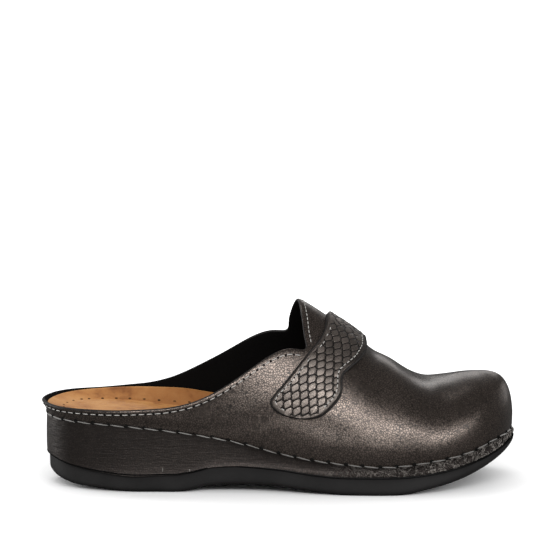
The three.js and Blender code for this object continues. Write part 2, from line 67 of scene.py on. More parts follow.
def new_material(name, **values):
    """A material with some values of its shader, and its node tree and shader."""
    material = bpy.data.materials.new(name)
    material.use_nodes = True
    shader = material.node_tree.nodes["Principled BSDF"]
    for socket, value in values.items():
        shader.inputs[socket.replace("_", " ")].default_value = value
    return material, material.node_tree, shader


def add_node(tree, kind, inputs=(), **settings):
    """A node with its settings, and its inputs by name or number: each a value or a socket to link."""
    node = tree.nodes.new(kind)
    for key, value in settings.items():
        setattr(node, key, value)
    for key, value in dict(inputs).items():
        if isinstance(value, bpy.types.NodeSocket):
            tree.links.new(value, node.inputs[key])
        else:
            node.inputs[key].default_value = value
    return node


def ramp(tree, source, *stops):
    """A colour ramp from a socket, with stops of a position and a colour or a grey."""
    node = add_node(tree, "ShaderNodeValToRGB", {"Fac": source})
    elements = node.color_ramp.elements
    for k, (position, colour) in enumerate(stops):
        element = elements[k] if k < 2 else elements.new(position)
        element.position = position
        element.color = (*colour, 1) if isinstance(colour, tuple) else (colour, colour, colour, 1)
    return node.outputs["Color"]


def object_place(tree):
    return add_node(tree, "ShaderNodeTexCoord").outputs["Object"]


bpy.ops.object.select_all(action="DESELECT")
bpy.ops.mesh.primitive_plane_add(size=FLOOR_SIZE, location=(0, 0, 0))
floor = bpy.context.active_object
floor.name = "floor"
floor_look, tree, shader = new_material("pale floor", Roughness=0.9, Specular_IOR_Level=0.1)
seen_by = add_node(tree, "ShaderNodeLightPath").outputs
away = add_node(tree, "ShaderNodeVectorMath", {0: object_place(tree)}, operation="LENGTH")
# Painted reflection: the floor's colour is dark for rays that mirror it, and pale for all others.
tone = ramp(tree, seen_by["Is Glossy Ray"], (0.0, 0.93), (1.0, 0.09))
# Painted light: the floor glows for the camera alone, not at all near the shoe and more further off.
painted_floor_glow = ramp(tree, away.outputs["Value"], (0.12, 0.0), (0.55, 0.8))
tree.links.new(tone, shader.inputs["Base Color"])
tree.links.new(painted_floor_glow, shader.inputs["Emission Color"])
tree.links.new(seen_by["Is Camera Ray"], shader.inputs["Emission Strength"])
floor.data.materials.append(floor_look)

bpy.ops.object.camera_add()
camera = bpy.context.active_object
camera.name = "camera"
backwards = Vector((0, -math.cos(CAMERA_RISE), math.sin(CAMERA_RISE)))
camera.location = PHOTO_CENTRE + CAMERA_DISTANCE * backwards
camera.rotation_euler = backwards.to_track_quat("Z", "Y").to_euler()
camera.data.sensor_width = SENSOR_WIDTH
camera.data.lens = SENSOR_WIDTH * CAMERA_DISTANCE / (MM_PER_PIXEL * MM * PHOTO_WIDTH)
camera.data.clip_end = 50
bpy.context.scene.camera = camera

for name, spot, aim, width, height, watts in PANELS:
    bpy.ops.object.light_add(type="AREA", location=spot)
    light = bpy.context.active_object
    light.name = name
    light.data.shape = "RECTANGLE"
    light.data.size = width
    light.data.size_y = height
    light.data.energy = watts
    light.rotation_euler = (Vector(spot) - Vector(aim)).to_track_quat("Z", "Y").to_euler()

world = bpy.data.worlds.new("studio")
bpy.context.scene.world = world
world.use_nodes = True
tree = world.node_tree
mirrored = add_node(tree, "ShaderNodeLightPath").outputs["Is Glossy Ray"]
# Painted reflection: the surroundings are dim for rays that mirror them, and bright for all others.
tree.links.new(ramp(tree, mirrored, (0.0, 0.72), (1.0, 0.145)), tree.nodes["Background"].inputs["Color"])
bpy.context.scene.view_settings.view_transform = "Standard"


# Outsole. One foamed rubber moulding with a matt skin, cemented under the wedge. Its form is the packed
# node's, with the facets rounded off.
SHORTEST_LOOP = 20
SOLE_EDGE_TURN = 25


def pick(*pieces):
    """Selects some pieces alone, the first of them as the active one."""
    bpy.ops.object.select_all(action="DESELECT")
    for piece in pieces:
        piece.select_set(True)
    bpy.context.view_layer.objects.active = pieces[0]


def smooth_copy(node, name):
    """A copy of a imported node, merged and turned back from triangles to quads."""
    piece = bpy.data.objects.new(name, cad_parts[node].data.copy())
    bpy.context.collection.objects.link(piece)
    pick(piece)
    piece.data.materials.clear()
    bpy.ops.object.mode_set(mode="EDIT")
    bpy.ops.mesh.select_all(action="SELECT")
    bpy.ops.mesh.remove_doubles(threshold=0.001 * MM)
    bpy.ops.mesh.tris_convert_to_quads(
        face_threshold=math.radians(70),
        shape_threshold=math.radians(70),
        topology_influence=1,
    )
    bpy.ops.mesh.select_all(action="DESELECT")
    bpy.ops.object.mode_set(mode="OBJECT")
    return piece


def subdivide(piece, levels):
    """Rounds a piece off with a subdivision surface that still passes through the points it has now."""
    pick(piece)
    rounding = piece.modifiers.new("rounding", "SUBSURF")
    rounding.levels = levels
    rounding.render_levels = levels
    goal = [vertex.co.copy() for vertex in piece.data.vertices]
    for _ in range(2):
        shown = piece.evaluated_get(bpy.context.evaluated_depsgraph_get()).data.vertices
        pulls = [target - shown[k].co for k, target in enumerate(goal)]
        for vertex, pull in zip(piece.data.vertices, pulls):
            vertex.co += pull
        piece.data.update()
    bpy.ops.object.modifier_apply(modifier=rounding.name)
    bpy.ops.object.shade_smooth()


def finish_piece(piece, slot, *nodes):
    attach(piece, "root")
    if nodes:
        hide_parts(*nodes)


def bump(tree, height, distance, strength=1.0, under=None):
    """The normal of a bump of some millimetres, laid over another one if it is given."""
    inputs = {"Height": height, "Distance": distance * MM, "Strength": strength}
    if under:
        inputs["Normal"] = under
    return add_node(tree, "ShaderNodeBump", inputs).outputs["Normal"]


def mix_colours(tree, share, a, b, blend="MIX"):
    inputs = {"Factor": share, "A": a, "B": b}
    node = add_node(tree, "ShaderNodeMix", data_type="RGBA", blend_type=blend)
    for key, value in inputs.items():
        socket = next(s for s in node.inputs if s.name == key and (key == "Factor" or s.type == "RGBA"))
        if isinstance(value, bpy.types.NodeSocket):
            tree.links.new(value, socket)
        else:
            socket.default_value = value if key == "Factor" else (*value, 1)
    return node.outputs[2]


def noise_of(tree, place, scale, detail=3, roughness=0.5):
    inputs = {"Vector": place, "Scale": scale, "Detail": detail, "Roughness": roughness}
    return add_node(tree, "ShaderNodeTexNoise", inputs).outputs["Fac"]


def link_math(tree, operation, *values):
    node = add_node(tree, "ShaderNodeMath", dict(enumerate(values)), operation=operation)
    return node.outputs[0]


def facing_up(tree):
    """How far the skin faces up, from 1 there to -1 where it faces down."""
    direction = add_node(tree, "ShaderNodeNewGeometry").outputs["Normal"]
    return add_node(tree, "ShaderNodeSeparateXYZ", {"Vector": direction}).outputs["Z"]


def mottled(name, scale, dark, light, **values):
    """A material whose colour varies between two stops with a noise, which is returned as well."""
    material, tree, shader = new_material(name, **values)
    mottle = noise_of(tree, object_place(tree), scale)
    tree.links.new(ramp(tree, mottle, dark, light), shader.inputs["Base Color"])
    return material, tree, shader, mottle


def sharp_loops(piece, degrees):
    """The closed loops of edges where a piece turns sharply, as lists of points, the one reaching furthest
    forward first.
    """
    mesh = piece.data
    normals = {}
    for face in mesh.polygons:
        for key in face.edge_keys:
            normals.setdefault(key, []).append(face.normal)
    limit = math.cos(math.radians(degrees))
    neighbours = {}
    for (a, b), sides in normals.items():
        if len(sides) == 2 and sides[0].dot(sides[1]) < limit:
            neighbours.setdefault(a, []).append(b)
            neighbours.setdefault(b, []).append(a)
    loops = []
    seen = set()
    for start in neighbours:
        loop = []
        at = start
        while at is not None and at not in seen and len(neighbours[at]) == 2:
            seen.add(at)
            loop.append(at)
            at = next((n for n in neighbours[at] if n not in seen), None)
        if len(loop) > SHORTEST_LOOP and start in neighbours[loop[-1]]:
            loops.append([mesh.vertices[number].co.copy() for number in loop])
    return sorted(loops, key=lambda loop: max(p.x for p in loop), reverse=True)


outsole = smooth_copy("outsole", "outsole_moulding")
sole_edge = sharp_loops(outsole, SOLE_EDGE_TURN)[0]
subdivide(outsole, 2)
rubber, tree, shader, clouds = mottled(
    "foamed rubber",
    35,
    (0.3, (0.009, 0.0086, 0.0086)),
    (0.7, (0.015, 0.0143, 0.0142)),
    Specular_IOR_Level=0.15,
)
tree.links.new(ramp(tree, clouds, (0.3, 0.52), (0.7, 0.64)), shader.inputs["Roughness"])
place = object_place(tree)
skin = bump(tree, noise_of(tree, place, 900, 4), 0.12, 0.5)
under_sole = add_node(
    tree,
    "ShaderNodeMapRange",
    {"Value": facing_up(tree), "From Min": -0.8, "From Max": -0.93, "To Min": 0.0, "To Max": 1.0},
).outputs["Result"]
waves = add_node(
    tree, "ShaderNodeTexWave", {"Vector": place, "Scale": 45, "Distortion": 0.0}, wave_profile="TRI"
).outputs["Fac"]
grooves = ramp(tree, waves, (0.25, 0.0), (0.4, 1.0))
tread = link_math(tree, "MULTIPLY", grooves, under_sole)
tree.links.new(bump(tree, tread, 1.2, 1.0, skin), shader.inputs["Normal"])
outsole.data.materials.append(rubber)
finish_piece(outsole, "outsole_rubber", "outsole")


# Upper. One shell of metallic pebbled leather with a black lining, lasted over the foot's form and cut in
# one with the instep tab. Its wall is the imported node's, and the leather is drawn into soft hollows where
# the foot bends it and where the strap pulls on it.
UPPER_CREASES = (
    # Start and end on the skin, half width and depth, in millimetres.
    ((54, -30, 60), (68, 6, 64), 12.0, 0.15),
    ((60, -40, 44), (76, -16, 58), 12.0, 0.12),
    ((40, -44, 32), (10, -43, 44), 9.0, 0.3),
    ((56, 36, 48), (66, 14, 62), 12.0, 0.15),
    ((6, -39, 46), (-20, -38, 38), 9.0, 0.25),
    ((12, 34, 52), (-10, 34, 46), 9.0, 0.25),
)
SEAM_TURN = 50
LINING_FACING = -0.35
EDGE_FACING = 0.4
# On the cut edge, a ray straight in goes further than the wall is thick, and one straight up soon leaves it.
UNDER_SKIN = 0.3
RIM_DEPTH = 1.9
RIM_REACH = 2.2
UP = Vector((0, 0, 1))
FOOT_LINE = ((-0.095, 0.045), (-0.03, 0.05), (0.03, 0.055), (0.06, 0.042), (0.095, 0.036))


def foot_centre(x):
    """The middle of the foot at a distance along the shoe."""
    x = min(FOOT_LINE[-1][0], max(FOOT_LINE[0][0], x))
    for (x0, z0), (x1, z1) in zip(FOOT_LINE, FOOT_LINE[1:]):
        if x <= x1:
            return Vector((x, 0, z0 + (z1 - z0) * (x - x0) / (x1 - x0)))


def crease_depth(point):
    """How far the creases draw the skin in at a point, each fading out to its sides and ends."""
    depth = 0
    for start, end, half_width, most in UPPER_CREASES:
        a, b = Vector(start) * MM, Vector(end) * MM
        along = b - a
        share = min(1, max(0, (point - a).dot(along) / along.length_squared))
        away = (point - a - along * share).length / (half_width * MM)
        if away < 1:
            ends = math.sin(math.pi * (0.15 + 0.7 * share))
            depth += most * MM * ends * (0.5 + 0.5 * math.cos(math.pi * away))
    return depth


def push_in(piece, depth_at):
    """Moves each point of a piece inwards by the depth that a function gives for its place."""
    vertices = piece.data.vertices
    normals = [vertex.normal.copy() for vertex in vertices]
    for vertex, normal in zip(vertices, normals):
        vertex.co -= normal * depth_at(vertex.co)


def surface_of(piece):
    return BVHTree.FromObject(piece, bpy.context.evaluated_depsgraph_get())


def leather_group():
    """Pebbled grain: a height and a mask of the tops of the grains, from a place and a grain size."""
    group = bpy.data.node_groups.new("pebbled grain", "ShaderNodeTree")
    for name, kind in (("Place", "NodeSocketVector"), ("Grains per metre", "NodeSocketFloat")):
        group.interface.new_socket(name, in_out="INPUT", socket_type=kind)
    for name in ("Height", "Tops", "Flecks", "Clouds"):
        group.interface.new_socket(name, in_out="OUTPUT", socket_type="NodeSocketFloat")
    start = group.nodes.new("NodeGroupInput").outputs
    end = group.nodes.new("NodeGroupOutput").inputs
    place = start["Place"]
    size = start["Grains per metre"]
    warp = add_node(group, "ShaderNodeTexNoise", {"Vector": place, "Scale": size, "Detail": 1})
    shift = add_node(
        group,
        "ShaderNodeVectorMath",
        {0: warp.outputs["Color"], 1: (0.0005, 0.0005, 0.0005)},
        operation="MULTIPLY",
    )
    moved = add_node(
        group, "ShaderNodeVectorMath", {0: place, 1: shift.outputs[0]}, operation="ADD"
    ).outputs[0]
    cells = add_node(
        group,
        "ShaderNodeTexVoronoi",
        {"Vector": moved, "Scale": size},
        feature="DISTANCE_TO_EDGE",
    ).outputs["Distance"]
    tops = add_node(
        group,
        "ShaderNodeMapRange",
        {"Value": cells, "From Min": 0.0, "From Max": 0.2},
        interpolation_type="SMOOTHSTEP",
    ).outputs["Result"]
    wide = noise_of(group, place, 260, 3)
    height = link_math(group, "MULTIPLY", tops, wide)
    flecks = add_node(
        group, "ShaderNodeTexVoronoi", {"Vector": moved, "Scale": size}, feature="F1"
    ).outputs["Color"]
    single = add_node(group, "ShaderNodeSeparateColor", {"Color": flecks}).outputs["Red"]
    group.links.new(height, end["Height"])
    group.links.new(tops, end["Tops"])
    group.links.new(single, end["Flecks"])
    group.links.new(noise_of(group, place, 28, 3), end["Clouds"])
    return group


grain = leather_group()


def metallic_leather(name, grains, depth, dark_valley_and_shade, top, gloss):
    """Foil-finished leather: grains of varied brightness with dark valleys, partly own colour and partly
    painted shade.
    """
    material, tree, shader = new_material(name, Specular_IOR_Level=0.5, Coat_Roughness=0.35)
    skin = add_node(tree, "ShaderNodeGroup", node_tree=grain)
    tree.links.new(object_place(tree), skin.inputs["Place"])
    skin.inputs["Grains per metre"].default_value = grains
    spread = ramp(tree, skin.outputs["Flecks"], (0.0, tuple(0.75 * c for c in top)), (1.0, top))
    # The valleys' dark colour is partly the leather's own and partly painted shade in the crevices.
    colour = mix_colours(tree, skin.outputs["Tops"], dark_valley_and_shade, spread)
    shade = ramp(tree, skin.outputs["Clouds"], (0.35, 0.82), (0.65, 1.0))
    colour = mix_colours(tree, 1.0, colour, shade, "MULTIPLY")
    tree.links.new(colour, shader.inputs["Base Color"])
    tree.links.new(ramp(tree, skin.outputs["Tops"], (0.0, 0.5), (0.6, 0.9)), shader.inputs["Metallic"])
    low, high = gloss
    rough = ramp(tree, skin.outputs["Clouds"], (0.3, low), (0.7, high))
    tree.links.new(rough, shader.inputs["Roughness"])
    flattened = ramp(tree, facing_up(tree), (0.45, 1.0), (0.85, 0.3))
    height = link_math(tree, "MULTIPLY", skin.outputs["Height"], flattened)
    tree.links.new(bump(tree, height, depth), shader.inputs["Normal"])
    return material


upper_leather = metallic_leather(
    "metallic pebbled leather", 800, 0.06, (0.016, 0.0125, 0.0105), (0.15, 0.121, 0.104), (0.26, 0.31)
)
lining, tree, shader, fuzz = mottled(
    "black lining",
    1500,
    (0.3, (0.001, 0.001, 0.001)),
    (0.7, (0.0025, 0.0024, 0.0023)),
    Specular_IOR_Level=0.08,
)
tree.links.new(ramp(tree, fuzz, (0.3, 0.75), (0.7, 0.9)), shader.inputs["Roughness"])
tree.links.new(bump(tree, fuzz, 0.08), shader.inputs["Normal"])
# The cut edges' own dark finish, made darker still to serve also as painted shadow under the strap's rim.
dark_edge_and_shade, tree, shader, fuzz = mottled(
    "cut edge",
    900,
    (0.3, (0.008, 0.007, 0.0065)),
    (0.7, (0.019, 0.017, 0.016)),
    Specular_IOR_Level=0.2,
)
tree.links.new(ramp(tree, fuzz, (0.3, 0.5), (0.7, 0.7)), shader.inputs["Roughness"])

upper = smooth_copy("upper", "upper_shell")
seam_line = sharp_loops(upper, SEAM_TURN)[0]
subdivide(upper, 2)
upper.data.materials.append(upper_leather)
upper.data.materials.append(lining)
upper.data.materials.append(dark_edge_and_shade)
upper_skin = surface_of(upper)
for face in upper.data.polygons:
    outwards = (face.center - foot_centre(face.center.x)).normalized()
    facing = face.normal.dot(outwards)
    inside = face.center - face.normal * UNDER_SKIN * MM
    through = upper_skin.ray_cast(inside, -face.normal)[3] or 0
    above = upper_skin.ray_cast(inside, UP)[3] or 0
    on_rim = through > RIM_DEPTH * MM and above < RIM_REACH * MM
    if facing < LINING_FACING:
        face.material_index = 1
    elif facing < EDGE_FACING or on_rim:
        face.material_index = 2
push_in(upper, crease_depth)
finish_piece(upper, "upper_leather", "upper")


# Wedge. A light core under a cover of the same leather, which is pulled down over it, sewn to the upper
# along the seam in long hand stitches, and turned under above the outsole. The stitches draw it into
# puckers, deepest round the toe, and its lower edge has a few nicks.
STITCH_PITCH = 9.5
PUCKER_REACH = 6.5
TOE_START = 0.075
TOE_END = 0.13
CRUMPLE_SCALE = 380
# Depths in millimetres along the sides, and how much deeper at the toe.
CRUMPLE_DEPTH = (0.06, 0.5)
PUCKER_DEPTH = (0.22, 0.6)
CRINKLE_START = 0.02
CRINKLE_FULL = 0.1
# Places and heights of the nicks, in millimetres.
NICKS = (((-64, -35, 13.5), 1.7), ((-49, -36, 13.2), 0.9))
NICK_WIDTH = 0.5
NICK_DEPTH = 20


def resampled(points, step, closed=True):
    """Points spaced evenly along a line, about a step apart, each with its direction."""
    line = points + points[:1] if closed else points
    run = [0.0]
    for a, b in zip(line, line[1:]):
        run.append(run[-1] + (b - a).length)
    count = max(1, round(run[-1] / step))
    places = []
    k = 0
    for number in range(count if closed else count + 1):
        distance = run[-1] * number / count
        while k < len(line) - 2 and run[k + 1] < distance:
            k += 1
        share = (distance - run[k]) / (run[k + 1] - run[k])
        places.append((line[k].lerp(line[k + 1], share), (line[k + 1] - line[k]).normalized()))
    return places


def finder_of(points):
    finder = KDTree(len(points))
    for number, point in enumerate(points):
        finder.insert(point, number)
    finder.balance()
    return finder


def smooth_step(share):
    share = min(1, max(0, share))
    return share * share * (3 - 2 * share)


seam_points = [point for point, _ in resampled(seam_line, MM)]
seam_finder = finder_of(seam_points)
stitches_round = round(len(seam_points) / STITCH_PITCH)


def seam_phase(point):
    """How far a point is from the seam, and where it stands between two holes, as a full turn."""
    _, number, distance = seam_finder.find(point)
    return distance / MM, 2 * math.pi * stitches_round * number / len(seam_points)


def toe_share(point):
    return smooth_step((point.x - TOE_START) / (TOE_END - TOE_START))


def pucker_depth(point):
    """How far the seam draws the leather in: most at the holes, and unevenly round the toe."""
    away, phase = seam_phase(point)
    if away > PUCKER_REACH:
        return 0
    toe = toe_share(point)
    fade = 1 - smooth_step(away / PUCKER_REACH)
    crumple = noise(point * CRUMPLE_SCALE) * (CRUMPLE_DEPTH[0] + CRUMPLE_DEPTH[1] * toe)
    pucker = (PUCKER_DEPTH[0] + PUCKER_DEPTH[1] * toe) * (0.5 + 0.5 * math.cos(phase))
    return MM * fade * (pucker + crumple)


wedge = smooth_copy("wedge", "wedge_covering")
subdivide(wedge, 3)
push_in(wedge, pucker_depth)
wedge_leather = metallic_leather(
    "stretched leather", 900, 0.05, (0.017, 0.0135, 0.012), (0.062, 0.051, 0.046), (0.45, 0.52)
)
tree = wedge_leather.node_tree
shader = tree.nodes["Principled BSDF"]
place = object_place(tree)
stretched = add_node(tree, "ShaderNodeMapping", {"Vector": place, "Scale": (0.12, 0.12, 1.0)})
wrinkles = noise_of(tree, stretched.outputs["Vector"], 900, 4, 0.6)
under = shader.inputs["Normal"].links[0].from_socket
wrinkled = bump(tree, wrinkles, 0.3, 0.8, under)
along = add_node(tree, "ShaderNodeSeparateXYZ", {"Vector": place}).outputs["X"]
toe = add_node(
    tree,
    "ShaderNodeMapRange",
    {"Value": along, "From Min": CRINKLE_START, "From Max": CRINKLE_FULL},
).outputs["Result"]
folds = add_node(
    tree,
    "ShaderNodeTexNoise",
    {"Vector": place, "Scale": 300, "Detail": 3, "Roughness": 0.65, "Distortion": 0.8},
).outputs["Fac"]
crinkles = ramp(tree, folds, (0.4, 0.0), (0.5, 1.0), (0.6, 0.0))
crinkled = link_math(tree, "MULTIPLY", crinkles, toe)
tree.links.new(bump(tree, crinkled, 1.0, 1.0, wrinkled), shader.inputs["Normal"])
colour = shader.inputs["Base Color"].links[0].from_socket
for nick_place, nick_height in NICKS:
    middle = Vector(nick_place) * MM
    size = Vector((NICK_WIDTH, NICK_DEPTH, nick_height)) * MM
    near = add_node(
        tree,
        "ShaderNodeMapping",
        {"Vector": place, "Location": middle, "Scale": size},
        vector_type="TEXTURE",
    )
    spot = add_node(
        tree, "ShaderNodeTexGradient", {"Vector": near.outputs["Vector"]}, gradient_type="SPHERICAL"
    )
    share = ramp(tree, spot.outputs["Fac"], (0.1, 0.0), (0.6, 0.7))
    colour = mix_colours(tree, share, colour, (0.2, 0.19, 0.175))
# Painted glints: the crinkle ridges round the toe are given a lighter colour.
painted_crinkle_glint = ramp(tree, crinkles, (0.45, (0.0, 0.0, 0.0)), (1.0, (0.34, 0.315, 0.29)))
colour = mix_colours(tree, toe, colour, mix_colours(tree, 1.0, colour, painted_crinkle_glint, "ADD"))
tree.links.new(colour, shader.inputs["Base Color"])
wedge.data.materials.append(wedge_leather)
finish_piece(wedge, "wedge_cover", "wedge")


# Seam stitches. Waxed light grey thread in one row of long saddle stitches, sewn by hand through punched
# holes in the upper's edge. Each stitch lies over the edge of the wedge's cover.
# Length, width and height of a stitch and of a hole, in millimetres.
SEAM_STITCH = (8.2, 0.65, 0.9)
SEAM_HOLE = (2.3, 2.3, 0.25)
THREAD_SLANT = math.radians(-4)
THREAD_RISE = 0.1
THREAD_LIFT = 0.2
HOLE_RISE = 0.45
HOLE_LIFT = 0.1
LOOK_FROM = 0.01


def bead(name, length, width, height):
    """A tapered bead of eight sides, centred where it lies: one stitch, or with equal sides one dot."""
    bpy.ops.object.select_all(action="DESELECT")
    bpy.ops.mesh.primitive_uv_sphere_add(segments=8, ring_count=7, radius=0.5)
    one = bpy.context.active_object
    one.name = name
    one.data.transform(Matrix.Rotation(math.pi / 2, 4, "Y"))
    one.data.transform(Matrix.Diagonal((length * MM, width * MM, height * MM, 1)))
    bpy.ops.object.shade_smooth()
    return one


def sewn(one, places):
    """Copies of a bead at each place, a point with its direction and normal, joined into one piece."""
    name = one.name
    copies = []
    for point, along, normal in places:
        side = normal.cross(along).normalized()
        along = side.cross(normal).normalized()
        turn = Matrix((along, side, normal)).transposed().to_4x4()
        turn.translation = point
        copy = one.copy()
        copy.data = one.data.copy()
        copy.data.transform(turn)
        bpy.context.collection.objects.link(copy)
        copies.append(copy)
    bpy.data.objects.remove(one)
    pick(*copies)
    bpy.ops.object.join()
    copies[0].name = name
    return copies[0]


def row_of(name, size, places, look, slot):
    """A row of equal stitches or holes, as one finished piece."""
    row = sewn(bead(name, *size), places)
    row.data.materials.append(look)
    finish_piece(row, slot)


def laid_on(surface, point, lift=0.0):
    """The nearest point of a surface, lifted off it by some millimetres, and the normal there."""
    place, normal, _, _ = surface.find_nearest(point)
    return place + normal * lift * MM, normal


def thread_of(name, shaded, lit):
    """Twisted thread with a fine run of strands, mottled between two shades."""
    material, tree, shader = new_material(name, Specular_IOR_Level=0.4, Sheen_Weight=0.15)
    place = object_place(tree)
    strands = add_node(tree, "ShaderNodeTexWave", {"Vector": place, "Scale": 900, "Distortion": 2.0})
    fibres = noise_of(tree, place, 2500, 3)
    tree.links.new(ramp(tree, fibres, (0.3, shaded), (0.7, lit)), shader.inputs["Base Color"])
    tree.links.new(ramp(tree, fibres, (0.3, 0.45), (0.7, 0.65)), shader.inputs["Roughness"])
    tree.links.new(bump(tree, strands.outputs["Fac"], 0.1), shader.inputs["Normal"])
    return material


seam_look = thread_of("waxed thread", (0.11, 0.105, 0.1), (0.2, 0.193, 0.183))
# Painted shade: the dark beads on the holes stand for the shade inside them.
painted_hole_shade = mottled(
    "punched hole",
    1200,
    (0.3, (0.002, 0.002, 0.002)),
    (0.7, (0.006, 0.0055, 0.005)),
    Specular_IOR_Level=0.1,
    Roughness=0.9,
)[0]

upper_skin = surface_of(upper)
wedge_skin = surface_of(wedge)


def outermost(point, ahead, skins):
    """The place and normal of the outer one of some skins beside a point of a line round the shoe."""
    outwards = ahead.cross(UP).normalized()
    if outwards.dot(point) < 0:
        outwards.negate()
    start = point + outwards * LOOK_FROM
    hits = [skin.ray_cast(start, -outwards, 2 * LOOK_FROM)[:2] for skin in skins]
    hits = [hit for hit in hits if hit[0] is not None]
    return min(hits, key=lambda hit: (hit[0] - start).length)


stitch_step = len(seam_points) / stitches_round
stitch_places = []
hole_places = []
for number in range(stitches_round):
    middle = int(stitch_step * (number + 0.5)) % len(seam_points)
    corner = int(stitch_step * number) % len(seam_points)
    for index, rise, lift, places in (
        (middle, THREAD_RISE, THREAD_LIFT, stitch_places),
        (corner, HOLE_RISE, HOLE_LIFT, hole_places),
    ):
        here = seam_points[index]
        ahead = seam_points[(index + 2) % len(seam_points)] - seam_points[index - 2]
        point, normal = outermost(here + UP * rise * MM, ahead, (upper_skin, wedge_skin))
        ahead = Matrix.Rotation(THREAD_SLANT, 3, normal) @ ahead.normalized()
        places.append((point + normal * lift * MM, ahead, normal))
row_of("seam_stitches", SEAM_STITCH, stitch_places, seam_look, "thread")
row_of("seam_holes", SEAM_HOLE, hole_places, painted_hole_shade, "lining")


# Gap shadow. A thin black cord, painted shadow in the gap where the wedge's cover is glued down on the
# outsole. It runs all round as one thin matt line.
GAP_SHADOW_WIDTH = 1.1
GAP_SHADOW_RISE = 0.25
GAP_SHADOW_SINK = 0.28
GAP_SHADOW_STEP = 2


def tube(name, points, radius, closed):
    """A round cord of a radius in millimetres through points, as one mesh."""
    line = bpy.data.curves.new(name, "CURVE")
    line.dimensions = "3D"
    line.bevel_depth = radius * MM
    line.bevel_resolution = 2
    spline = line.splines.new("POLY")
    spline.points.add(len(points) - 1)
    spline.use_cyclic_u = closed
    for spot, point in zip(spline.points, points):
        spot.co = (*point, 1)
    cord = bpy.data.objects.new(name, line)
    bpy.context.collection.objects.link(cord)
    pick(cord)
    bpy.ops.object.convert(target="MESH")
    cord = bpy.context.active_object
    bpy.ops.object.shade_smooth()
    return cord


outsole_skin = surface_of(outsole)
gap_shadow_points = []
for point, ahead in resampled(sole_edge, GAP_SHADOW_STEP * MM):
    raised = point + UP * GAP_SHADOW_RISE * MM
    edge, normal = outermost(raised, ahead, (outsole_skin, wedge_skin))
    gap_shadow_points.append(edge - normal * GAP_SHADOW_SINK * MM)
gap_shadow = tube("gap_shadow_line", gap_shadow_points, GAP_SHADOW_WIDTH / 2, closed=True)
# Painted shadow: a near-black matt colour for the cord.
gap_shadow_look = mottled(
    "painted gap shadow",
    500,
    (0.3, (0.001, 0.001, 0.001)),
    (0.7, (0.003, 0.003, 0.003)),
    Specular_IOR_Level=0.05,
    Roughness=0.9,
)[0]
gap_shadow.data.materials.append(gap_shadow_look)
finish_piece(gap_shadow, "outsole_rubber")


# Edge stitching. Finer light thread in machine stitches along the top line of the quarters and heel, and
# closer ones along the edge of the instep tab, all set in from the cut edge.
HEEL_PIVOT = Vector((-0.085, 0, 0))
TAB_AXIS_HEIGHT = 0.055
HALVINGS = 14
RAY_REACH = 0.1
OUTSIDE = 0.2
WALL_FOOT = 0.036
WALL_TOP = 0.085
TAB_FRONT = 0.04
TAB_BACK = -0.02
HEEL_SWEEP = range(0, 91, 5)
TAB_SWEEP = range(50, 112, 3)
TOPLINE_STEP = 0.002
OUTER_NOTCH = 0.011
INNER_NOTCH = -0.014
TOPLINE_PITCH = 4.5
TOPLINE_INSET = 2.6
TOPLINE_LIFT = 0.12
TOPLINE_STITCH = (3.3, 0.5, 0.5)
TOPLINE_HOLE = (1.5, 1.35, 0.35)
# Where the line of stitches moves further in from the quarter's edge, and by how many millimetres.
QUARTER_START = -0.05
QUARTER_END = -0.01
QUARTER_INSET = 0.4
TAB_PITCH = 2.8
TAB_INSET = 3.1
TAB_LIFT = 0.1
FINE_STITCH = (2.1, 0.52, 0.5)
NEEDLE_LIFT = 0.1


def border(met, missed, start_at, outwards):
    """The last of the values between two at which a ray outwards still meets the upper."""
    for _ in range(HALVINGS):
        middle = (met + missed) / 2
        if upper_skin.ray_cast(start_at(middle), outwards, RAY_REACH)[0] is None:
            missed = middle
        else:
            met = middle
    return met


def edge_height(foot, outwards):
    """The height up to which the upper's wall stands, outwards from a point of its floor plan."""
    return border(WALL_FOOT, WALL_TOP, lambda height: foot + UP * height, outwards)


def skin_from_outside(inner, outwards):
    point, normal, _, _ = upper_skin.ray_cast(inner + outwards * OUTSIDE, -outwards)
    return point, normal


def topline_points(side, last_x):
    """The stitch line below the top line, from the back of the heel to the notch on one side."""
    points = []
    for degrees in HEEL_SWEEP:
        turn = math.radians(degrees)
        outwards = Vector((-math.cos(turn), side * math.sin(turn), 0))
        height = edge_height(HEEL_PIVOT, outwards) - TOPLINE_INSET * MM
        points.append(skin_from_outside(HEEL_PIVOT + UP * height, outwards)[0])
    x = HEEL_PIVOT.x + 2 * TOPLINE_STEP
    while x < last_x:
        outwards = Vector((0, side, 0))
        quarter = smooth_step((x - QUARTER_START) / (QUARTER_END - QUARTER_START))
        inset = TOPLINE_INSET + QUARTER_INSET * quarter
        foot = Vector((x, 0, 0))
        height = edge_height(foot, outwards) - inset * MM
        points.append(skin_from_outside(foot + UP * height, outwards)[0])
        x += TOPLINE_STEP
    return points


def tab_edge(turn):
    """How far back the instep tab reaches at an angle over the foot, from 0 at its outer side."""
    outwards = Vector((0, -math.cos(turn), math.sin(turn)))
    return border(TAB_FRONT, TAB_BACK, lambda x: Vector((x, 0, TAB_AXIS_HEIGHT)), outwards), outwards


def tab_points():
    """The stitch line in front of the tab's edge, over the foot from the outer side."""
    points = []
    for degrees in TAB_SWEEP:
        edge, outwards = tab_edge(math.radians(degrees))
        start = Vector((edge + TAB_INSET * MM, 0, TAB_AXIS_HEIGHT))
        points.append(skin_from_outside(start, outwards)[0])
    return points


def stitch_places_on(surface, points, pitch, lift):
    """Places for stitches evenly along an open line on a surface."""
    places = []
    for point, along in resampled(points, pitch * MM, closed=False):
        point, normal = laid_on(surface, point, lift)
        places.append((point, along, normal))
    return places


